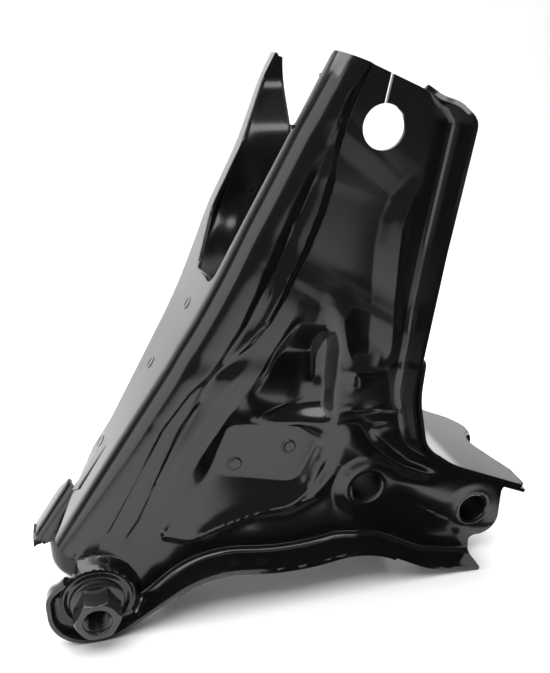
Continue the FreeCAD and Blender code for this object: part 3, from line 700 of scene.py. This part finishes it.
def build_end_plate(material):
    """A bent plate on a path in X-Z, with a bite out of its outboard edge."""
    line = rounded(END_PLATE, END_PLATE_R)
    end = travelled(line)[-1]
    y0, y1 = FLANGE_FRONT, END_PLATE_BACK
    outline = rounded([(0.0, y0), (end - 1.0, y0), (end, y0 + 20.0), (end - 22.0, 47.0), (end - 4.0, 63.0),
                       (end - 3.0, y1 - 6.0), (end - 14.0, y1), (0.0, y1)],
                      [3.0, 5.0, 5.0, 18.0, 6.0, 5.0, 5.0, 3.0], closed=True)
    sheet = Sheet()
    sheet.region(outline, [], on_spine(line), WIDE_GRID)
    obj = sheet.to_object("end_plate_sheet")
    finish_sheet(obj, material, lambda c: (0.4, 0, 0.9) if 235 < c.x < 255 else None)
    return obj


# ---------------------------------------------------------------- nut

NUT_SIDES = 120
NUT_APOTHEM = 12.0
NUT_SEAT_R = 8.4
NUT_HEX_FROM = -3.6
# Y and radius down the flange, Y down the hexagon, and the flat face and its chamfer into the bore.
NUT_FLANGE = [(0.0, 16.2), (-2.3, 16.2), (-3.0, 15.6), (-3.5, 14.6), (-3.9, 13.6), (-4.0, 13.2)]
NUT_HEX = [-4.3, -8.0, -12.0, -15.0, -16.2, -16.6, -17.0, -17.4, -17.75, -18.0]
NUT_FACE = [(-18.0, 9.2), (-17.8, 8.9)]
NUT_FACE_R = 12.1
NUT_CHAMFER_SLOPE = 1.15
THREAD_FROM = -17.7
THREAD_PITCH = 2.5
THREAD_R = 6.9
THREAD_DEPTH = 1.3
THREAD_LEAD = 1.6
THREAD_MOUTH_R = 8.6


def thread_radius(y, angle):
    """Radius of the helical thread, which runs out into a wider mouth."""
    phase = (y / THREAD_PITCH - angle / math.tau) % 1.0
    groove = 1.0 - abs(2.0 * phase - 1.0)
    r = THREAD_R + THREAD_DEPTH * min(1.0, max(0.0, groove * 1.25 - 0.12))
    lead = max(0.0, min(1.0, (y - THREAD_FROM) / THREAD_LEAD))
    return r * lead + THREAD_MOUTH_R * (1.0 - lead)


def build_nut(material):
    angles = np.arange(NUT_SIDES) * math.tau / NUT_SIDES
    hexagon = NUT_APOTHEM / np.cos(angles % (math.pi / 3) - math.pi / 6)

    def ring(y, radii):
        return np.stack([radii * np.cos(angles), np.full(NUT_SIDES, y), radii * np.sin(angles)], 1)

    rows = [ring(0.0, NUT_SEAT_R)]
    for y, r in NUT_FLANGE:
        rows.append(ring(y, np.maximum(r, hexagon) if y < NUT_HEX_FROM else r))
    rows.append(ring(NUT_HEX[0], hexagon))
    for y in NUT_HEX[1:]:
        rows.append(ring(y, np.minimum(hexagon, NUT_FACE_R + (y - NUT_HEX[-1]) * NUT_CHAMFER_SLOPE)))
    for y, r in NUT_FACE:
        rows.append(ring(y, r))
    for y in np.arange(THREAD_FROM, 0.01, THREAD_PITCH / 10):
        rows.append(ring(y, np.array([thread_radius(y, a) for a in angles])))
    sheet = Sheet()
    sheet.rows(rows, closed=True)
    obj = sheet.to_object("pivot_nut", weld=0.01)
    obj.data.shade_smooth()
    obj.data.set_sharp_from_angle(angle=math.radians(30))
    obj.data.materials.append(material)
    return obj


# ---------------------------------------------------------------- spot welds

# Radius and rise from the middle of a spot weld's disc to its sunken edge.
BUTTON = [(0.0, 0.10), (1.6, 0.10), (2.6, 0.14), (3.1, 0.26), (3.55, 0.42), (4.0, 0.30), (4.4, 0.0), (4.6, -0.4)]
BUTTON_SIDES = 40
WEB_WELD_HEIGHTS = (78.0, 128.0, 164.0)
WEB_WELD_Y = 51.0
PAD_WELDS = [(88.0, 17.4, 70.0), (122.0, 17.4, 77.0)]


def build_buttons(name, spots, normal, material):
    """Spot-weld marks: a low disc with a raised ring at each place, facing along the normal."""
    sheet = Sheet()
    turn = Vector((0, 0, 1)).rotation_difference(Vector(normal)).to_matrix()
    for point in spots:
        rows = []
        for r, up in BUTTON:
            row = []
            for k in range(BUTTON_SIDES):
                a = k * math.tau / BUTTON_SIDES
                v = turn @ Vector((max(r, 0.02) * math.cos(a), max(r, 0.02) * math.sin(a), up))
                row.append((point[0] + v.x, point[1] + v.y, point[2] + v.z))
            rows.append(row)
        sheet.rows(rows, closed=True)
    obj = sheet.to_object(name, weld=0.03)
    obj.data.shade_smooth()
    obj.data.materials.append(material)
    return obj


# ---------------------------------------------------------------- materials

def coat(name, base, rough, bump, spread=0.04, scale=900.0):
    """Dipped and baked black paint: glossy, with fine orange peel and slightly uneven gloss."""
    mat = bpy.data.materials.new(name)
    mat.use_nodes = True
    nodes, links = mat.node_tree.nodes, mat.node_tree.links
    shader = nodes["Principled BSDF"]
    shader.inputs["IOR"].default_value = 1.5
    shader.inputs["Coat Weight"].default_value = 0.25
    shader.inputs["Coat Roughness"].default_value = 0.08
    place = nodes.new("ShaderNodeTexCoord")
    cloud = nodes.new("ShaderNodeTexNoise")
    cloud.inputs["Scale"].default_value = 22.0
    cloud.inputs["Detail"].default_value = 5.0
    links.new(place.outputs["Object"], cloud.inputs["Vector"])
    gloss = nodes.new("ShaderNodeMapRange")
    gloss.inputs["To Min"].default_value = rough - spread
    gloss.inputs["To Max"].default_value = rough + spread
    links.new(cloud.outputs["Fac"], gloss.inputs["Value"])
    links.new(gloss.outputs["Result"], shader.inputs["Roughness"])
    tone = nodes.new("ShaderNodeMix")
    tone.data_type = "RGBA"
    tone.inputs[6].default_value = (base * 0.8, base * 0.8, base * 0.82, 1.0)
    tone.inputs[7].default_value = (base * 1.3, base * 1.3, base * 1.28, 1.0)
    links.new(cloud.outputs["Fac"], tone.inputs[0])
    dust = nodes.new("ShaderNodeTexNoise")
    dust.inputs["Scale"].default_value = 260.0
    dust.inputs["Detail"].default_value = 8.0
    dust.inputs["Roughness"].default_value = 0.7
    links.new(place.outputs["Object"], dust.inputs["Vector"])
    specks = nodes.new("ShaderNodeMapRange")
    specks.inputs["From Min"].default_value = 0.70
    specks.inputs["From Max"].default_value = 0.78
    specks.inputs["To Max"].default_value = 0.25
    links.new(dust.outputs["Fac"], specks.inputs["Value"])
    worn = nodes.new("ShaderNodeMix")
    worn.data_type = "RGBA"
    worn.inputs[7].default_value = (base * 6.0, base * 6.0, base * 6.2, 1.0)
    links.new(tone.outputs[2], worn.inputs[6])
    links.new(specks.outputs["Result"], worn.inputs[0])
    links.new(worn.outputs[2], shader.inputs["Base Color"])
    peel = nodes.new("ShaderNodeTexNoise")
    peel.inputs["Scale"].default_value = scale
    peel.inputs["Detail"].default_value = 2.0
    links.new(place.outputs["Object"], peel.inputs["Vector"])
    wave = nodes.new("ShaderNodeTexNoise")
    wave.inputs["Scale"].default_value = 60.0
    wave.inputs["Detail"].default_value = 2.0
    links.new(place.outputs["Object"], wave.inputs["Vector"])
    height = nodes.new("ShaderNodeMath")
    height.operation = "MULTIPLY_ADD"
    height.inputs[1].default_value = 2.0
    links.new(wave.outputs["Fac"], height.inputs[0])
    links.new(peel.outputs["Fac"], height.inputs[2])
    bumps = nodes.new("ShaderNodeBump")
    bumps.inputs["Strength"].default_value = bump
    bumps.inputs["Distance"].default_value = 0.0002
    links.new(height.outputs["Value"], bumps.inputs["Height"])
    links.new(bumps.outputs["Normal"], shader.inputs["Normal"])
    return mat


shell_coat = coat("shell_coat_black", 0.004, 0.17, 0.06)
plate_coat = coat("plate_coat_black", 0.005, 0.22, 0.08)
nut_coat = coat("nut_coat_black", 0.008, 0.26, 0.10)
tube_coat = coat("tube_coat_black", 0.005, 0.30, 0.10)
weld_coat = coat("weld_coat_black", 0.006, 0.22, 0.12, scale=500.0)


# ---------------------------------------------------------------- assembly

near_shell = build_near_shell(shell_coat)
adopt(near_shell, "near_shell")
far_shell = build_far_shell(shell_coat)
adopt(far_shell, "far_shell")

end_plate = build_end_plate(plate_coat)
adopt(end_plate, "end_plate")

nut = build_nut(nut_coat)
adopt(nut, "weld_nut")

slope = np.array([90.0, 132.0]) / math.hypot(90.0, 132.0)
spine_line = rounded(SPINE, [0.0, SPINE_BEND_R, 0.0])
web_spots = [(float(np.interp(z, spine_line[:, 1], spine_line[:, 0])), WEB_WELD_Y, z) for z in WEB_WELD_HEIGHTS]
web_marks = build_buttons("web_weld_marks", web_spots, (-slope[1], 0.0, slope[0]), weld_coat)
adopt(web_marks, "web_spot_welds")

pad_marks = build_buttons("pad_weld_marks", PAD_WELDS, (0, -1, 0), weld_coat)
adopt(pad_marks, "pad_spot_welds")

for node, material in (("bottom_plate", plate_coat), ("inner_brace", shell_coat), ("inboard_sleeve", tube_coat),
                       ("outboard_sleeve", tube_coat), ("sleeve_welds", weld_coat),
                       ("end_plate_spot_welds", weld_coat), ("bottom_flange_spot_welds", weld_coat)):
    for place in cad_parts[node].material_slots:
        place.material = material


# ---------------------------------------------------------------- stage

def floor_material():
    """Matt white paper."""
    mat = bpy.data.materials.new("floor_paper")
    mat.use_nodes = True
    nodes, links = mat.node_tree.nodes, mat.node_tree.links
    shader = nodes["Principled BSDF"]
    shader.inputs["Roughness"].default_value = 0.9
    place = nodes.new("ShaderNodeTexCoord")
    grain = nodes.new("ShaderNodeTexNoise")
    grain.inputs["Scale"].default_value = 3.0
    links.new(place.outputs["Object"], grain.inputs["Vector"])
    tone = nodes.new("ShaderNodeMix")
    tone.data_type = "RGBA"
    tone.inputs[6].default_value = (0.86, 0.86, 0.86, 1.0)
    tone.inputs[7].default_value = (0.90, 0.90, 0.90, 1.0)
    links.new(grain.outputs["Fac"], tone.inputs[0])
    links.new(tone.outputs[2], shader.inputs["Base Color"])
    return mat


def build_stage():
    """A flat floor that curves up into a back wall."""
    floor = Sheet()
    z = FLOOR - 0.2
    profile = [(-1500.0, z), (900.0, z)]
    for k in range(1, 13):
        a = math.pi / 2 * k / 12
        profile.append((900.0 + 500.0 * math.sin(a), z + 500.0 * (1.0 - math.cos(a))))
    profile.append((1400.0, z + 2200.0))
    rows = [[(x, y, h) for x in (-2600.0, -800.0, 0.0, 800.0, 2600.0)] for y, h in profile]
    floor.rows(rows)
    obj = floor.to_object("floor")
    obj.data.shade_smooth()
    obj.data.materials.append(floor_material())


def soft_box(name, place, target, width, height, power):
    light = bpy.data.lights.new(name, "AREA")
    light.shape = "RECTANGLE"
    light.size = width
    light.size_y = height
    light.energy = power
    obj = bpy.data.objects.new(name, light)
    obj.location = place
    obj.rotation_euler = (Vector(target) - Vector(place)).to_track_quat("-Z", "Y").to_euler()
    bpy.context.scene.collection.objects.link(obj)
    return obj


def black_flag(name, corners):
    """A studio flag: black card that only the gloss of the paint sees."""
    card = Sheet()
    card.add(corners, [tuple(range(len(corners)))])
    obj = card.to_object(name)
    mat = bpy.data.materials.new(name + "_card")
    mat.use_nodes = True
    shader = mat.node_tree.nodes["Principled BSDF"]
    shader.inputs["Base Color"].default_value = (0.0, 0.0, 0.0, 1.0)
    shader.inputs["Roughness"].default_value = 1.0
    shader.inputs["Specular IOR Level"].default_value = 0.0
    obj.data.materials.append(mat)
    obj.visible_camera = False
    obj.visible_shadow = False
    obj.visible_diffuse = False


FLAG_Z = FLOOR + 1.0
TOP_FLAG_Z = 1050.0
FLAGS = [
    ("right_flag", FLAG_Z, [(210.0, -130.0), (600.0, -1100.0), (1500.0, -1100.0), (1500.0, 420.0),
                            (620.0, 300.0), (330.0, 0.0)]),
    ("front_flag", FLAG_Z, [(95.0, -14.0), (300.0, -14.0), (240.0, -55.0), (225.0, -110.0), (190.0, -135.0),
                            (172.0, -100.0), (172.0, -60.0), (120.0, -60.0)]),
    ("top_flag", TOP_FLAG_Z, [(180.0, -330.0), (700.0, -330.0), (700.0, 160.0), (180.0, 160.0)]),
]

build_stage()
for flag_name, flag_z, corners in FLAGS:
    black_flag(flag_name, [(x, y, flag_z) for x, y in corners])

# Lights: place and target in metres, width, height, and power in watts.
soft_box("overhead", (-0.05, 0.1, 1.15), (-0.05, 0.1, 0.0), 1.7, 1.5, 36.0)
soft_box("left_box", (-1.5, -0.6, 0.8), (0.1, 0.0, 0.15), 1.8, 1.6, 16.0)
soft_box("back_wash", (0.7, 0.5, 1.4), (1.1, 1.4, 0.5), 1.6, 0.6, 10.0)

world = bpy.data.worlds.new("studio")
world.use_nodes = True
world.node_tree.nodes["Background"].inputs["Color"].default_value = (1.0, 1.0, 1.0, 1.0)
world.node_tree.nodes["Background"].inputs["Strength"].default_value = 0.10
bpy.context.scene.world = world

camera_data = bpy.data.cameras.new("camera")
camera_data.sensor_fit = "AUTO"
camera_data.sensor_width = 36.0
camera_data.lens = 37.44
camera_data.clip_end = 20.0
camera = bpy.data.objects.new("camera", camera_data)
camera.location = (0.021, -0.341, 0.3025)
camera.rotation_euler = (math.radians(90.0 - 22.258), 0.0, math.radians(-14.457))
bpy.context.scene.collection.objects.link(camera)
bpy.context.scene.camera = camera
bpy.context.scene.view_settings.view_transform = "Standard"
